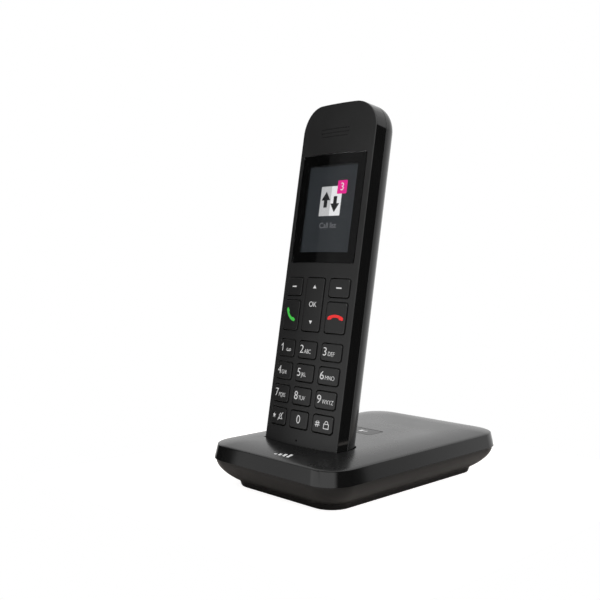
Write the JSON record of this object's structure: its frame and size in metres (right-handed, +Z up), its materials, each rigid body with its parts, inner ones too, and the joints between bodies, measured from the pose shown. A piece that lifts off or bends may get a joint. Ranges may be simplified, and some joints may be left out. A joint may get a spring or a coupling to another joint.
{
  "type": "cordless phone with base",
  "caption": "Slim cordless handset with keypad and colour display, leaning back in the cradle of a flat rounded charging base.",
  "frame": {"origin": "middle of the base's footprint on the surface it stands on", "axes": "+Z up, the handset's face and the user are towards -Y, +X to the user's right"},
  "size_m": [0.0846, 0.1248, 0.1793],
  "materials": {
    "matte_black": "fine matt grain",
    "gloss_black": "polished",
    "socket_plastic": "satin",
    "key_plastic": "satin, printed legends",
    "window": "polished, smoked",
    "display_panel": "smooth panel",
    "board": "solder mask",
    "silicone": "matt",
    "dome_film": "smooth film",
    "foot_rubber": "matt",
    "plated_steel": "nickel plated",
    "gold_contact": "gold plated",
    "cell_jacket": "printed sleeve"
  },
  "bodies": {
    "base": {"base_top_cover": "matte_black", "base_bottom_cover": "matte_black", "base_foot_1": "foot_rubber", "base_foot_2": "foot_rubber", "base_foot_3": "foot_rubber", "base_foot_4": "foot_rubber", "base_screw_1": "plated_steel", "base_screw_2": "plated_steel", "base_screw_3": "plated_steel", "base_screw_4": "plated_steel", "base_pcb": "board", "base_rf_shield": "plated_steel", "base_antenna": "plated_steel", "paging_switch": "matte_black", "phone_socket": "socket_plastic", "power_socket": "socket_plastic"},
    "handset": {"handset_front_cover": "matte_black", "handset_rear_cover": "gloss_black", "display_window": "window", "lcd_module": "display_panel", "handset_pcb": "board", "dome_sheet": "dome_film", "keypad_mat": "silicone", "handset_rf_shield": "plated_steel", "earpiece_speaker": "plated_steel", "ringer_speaker": "plated_steel", "microphone": "plated_steel", "charge_pad_left": "gold_contact", "charge_pad_right": "gold_contact", "handset_screw_left": "plated_steel", "handset_screw_right": "plated_steel", "battery_cell_left": "cell_jacket", "battery_cell_right": "cell_jacket", "battery_plate_left": "plated_steel", "battery_plate_right": "plated_steel", "battery_spring_left": "plated_steel", "battery_spring_right": "plated_steel"},
    "battery_cover": {"battery_cover": "gloss_black"},
    "paging_key": {"paging_key": "key_plastic"},
    "charge_contact_left": {"charge_contact_left": "gold_contact"},
    "charge_contact_right": {"charge_contact_right": "gold_contact"},
    "key_nav": {"key_nav": "key_plastic"},
    "key_soft_left": {"key_soft_left": "key_plastic"},
    "key_soft_right": {"key_soft_right": "key_plastic"},
    "key_talk": {"key_talk": "key_plastic"},
    "key_end": {"key_end": "key_plastic"},
    "key_1": {"key_1": "key_plastic"},
    "key_2": {"key_2": "key_plastic"},
    "key_3": {"key_3": "key_plastic"},
    "key_4": {"key_4": "key_plastic"},
    "key_5": {"key_5": "key_plastic"},
    "key_6": {"key_6": "key_plastic"},
    "key_7": {"key_7": "key_plastic"},
    "key_8": {"key_8": "key_plastic"},
    "key_9": {"key_9": "key_plastic"},
    "key_star": {"key_star": "key_plastic"},
    "key_0": {"key_0": "key_plastic"},
    "key_hash": {"key_hash": "key_plastic"}
  },
  "joints": [
    {"name": "handset_lift", "type": "slide", "parent": "base", "child": "handset", "axis": [0, 0.1742, 0.9847], "range_m": [0, 0.06]},
    {"name": "battery_cover_tilt", "type": "hinge", "parent": "handset", "child": "battery_cover", "pos_m": [0, -0.02011, 0.03267], "axis": [-1, 0, 0], "range_deg": [0, 35]},
    {"name": "paging_press", "type": "slide", "parent": "base", "child": "paging_key", "axis": [0, 0, -1], "range_m": [0, 0.0008], "stiffness_N_per_m": 1500},
    {"name": "charge_contact_left_press", "type": "slide", "parent": "base", "child": "charge_contact_left", "axis": [0, 0.1742, 0.9847], "range_m": [-0.0008, 0], "stiffness_N_per_m": 800},
    {"name": "charge_contact_right_press", "type": "slide", "parent": "base", "child": "charge_contact_right", "axis": [0, 0.1742, 0.9847], "range_m": [-0.0008, 0], "stiffness_N_per_m": 800},
    {"name": "key_nav_rock", "type": "hinge", "parent": "handset", "child": "key_nav", "pos_m": [0, -0.02731, 0.08497], "axis": [1, 0, 0], "range_deg": [-1.8, 1.8], "stiffness_Nm_per_rad": 0.6},
    {"name": "key_soft_left_press", "type": "slide", "parent": "handset", "child": "key_soft_left", "axis": [0, 0.9847, -0.1742], "range_m": [0, 0.0005], "stiffness_N_per_m": 2500},
    {"name": "key_soft_right_press", "type": "slide", "parent": "handset", "child": "key_soft_right", "axis": [0, 0.9847, -0.1742], "range_m": [0, 0.0005], "stiffness_N_per_m": 2500},
    {"name": "key_talk_press", "type": "slide", "parent": "handset", "child": "key_talk", "axis": [0, 0.9847, -0.1742], "range_m": [0, 0.0005], "stiffness_N_per_m": 2500},
    {"name": "key_end_press", "type": "slide", "parent": "handset", "child": "key_end", "axis": [0, 0.9847, -0.1742], "range_m": [0, 0.0005], "stiffness_N_per_m": 2500},
    {"name": "key_1_press", "type": "slide", "parent": "handset", "child": "key_1", "axis": [0, 0.9847, -0.1742], "range_m": [0, 0.0005], "stiffness_N_per_m": 2500},
    {"name": "key_2_press", "type": "slide", "parent": "handset", "child": "key_2", "axis": [0, 0.9847, -0.1742], "range_m": [0, 0.0005], "stiffness_N_per_m": 2500},
    {"name": "key_3_press", "type": "slide", "parent": "handset", "child": "key_3", "axis": [0, 0.9847, -0.1742], "range_m": [0, 0.0005], "stiffness_N_per_m": 2500},
    {"name": "key_4_press", "type": "slide", "parent": "handset", "child": "key_4", "axis": [0, 0.9847, -0.1742], "range_m": [0, 0.0005], "stiffness_N_per_m": 2500},
    {"name": "key_5_press", "type": "slide", "parent": "handset", "child": "key_5", "axis": [0, 0.9847, -0.1742], "range_m": [0, 0.0005], "stiffness_N_per_m": 2500},
    {"name": "key_6_press", "type": "slide", "parent": "handset", "child": "key_6", "axis": [0, 0.9847, -0.1742], "range_m": [0, 0.0005], "stiffness_N_per_m": 2500},
    {"name": "key_7_press", "type": "slide", "parent": "handset", "child": "key_7", "axis": [0, 0.9847, -0.1742], "range_m": [0, 0.0005], "stiffness_N_per_m": 2500},
    {"name": "key_8_press", "type": "slide", "parent": "handset", "child": "key_8", "axis": [0, 0.9847, -0.1742], "range_m": [0, 0.0005], "stiffness_N_per_m": 2500},
    {"name": "key_9_press", "type": "slide", "parent": "handset", "child": "key_9", "axis": [0, 0.9847, -0.1742], "range_m": [0, 0.0005], "stiffness_N_per_m": 2500},
    {"name": "key_star_press", "type": "slide", "parent": "handset", "child": "key_star", "axis": [0, 0.9847, -0.1742], "range_m": [0, 0.0005], "stiffness_N_per_m": 2500},
    {"name": "key_0_press", "type": "slide", "parent": "handset", "child": "key_0", "axis": [0, 0.9847, -0.1742], "range_m": [0, 0.0005], "stiffness_N_per_m": 2500},
    {"name": "key_hash_press", "type": "slide", "parent": "handset", "child": "key_hash", "axis": [0, 0.9847, -0.1742], "range_m": [0, 0.0005], "stiffness_N_per_m": 2500}
  ]
}
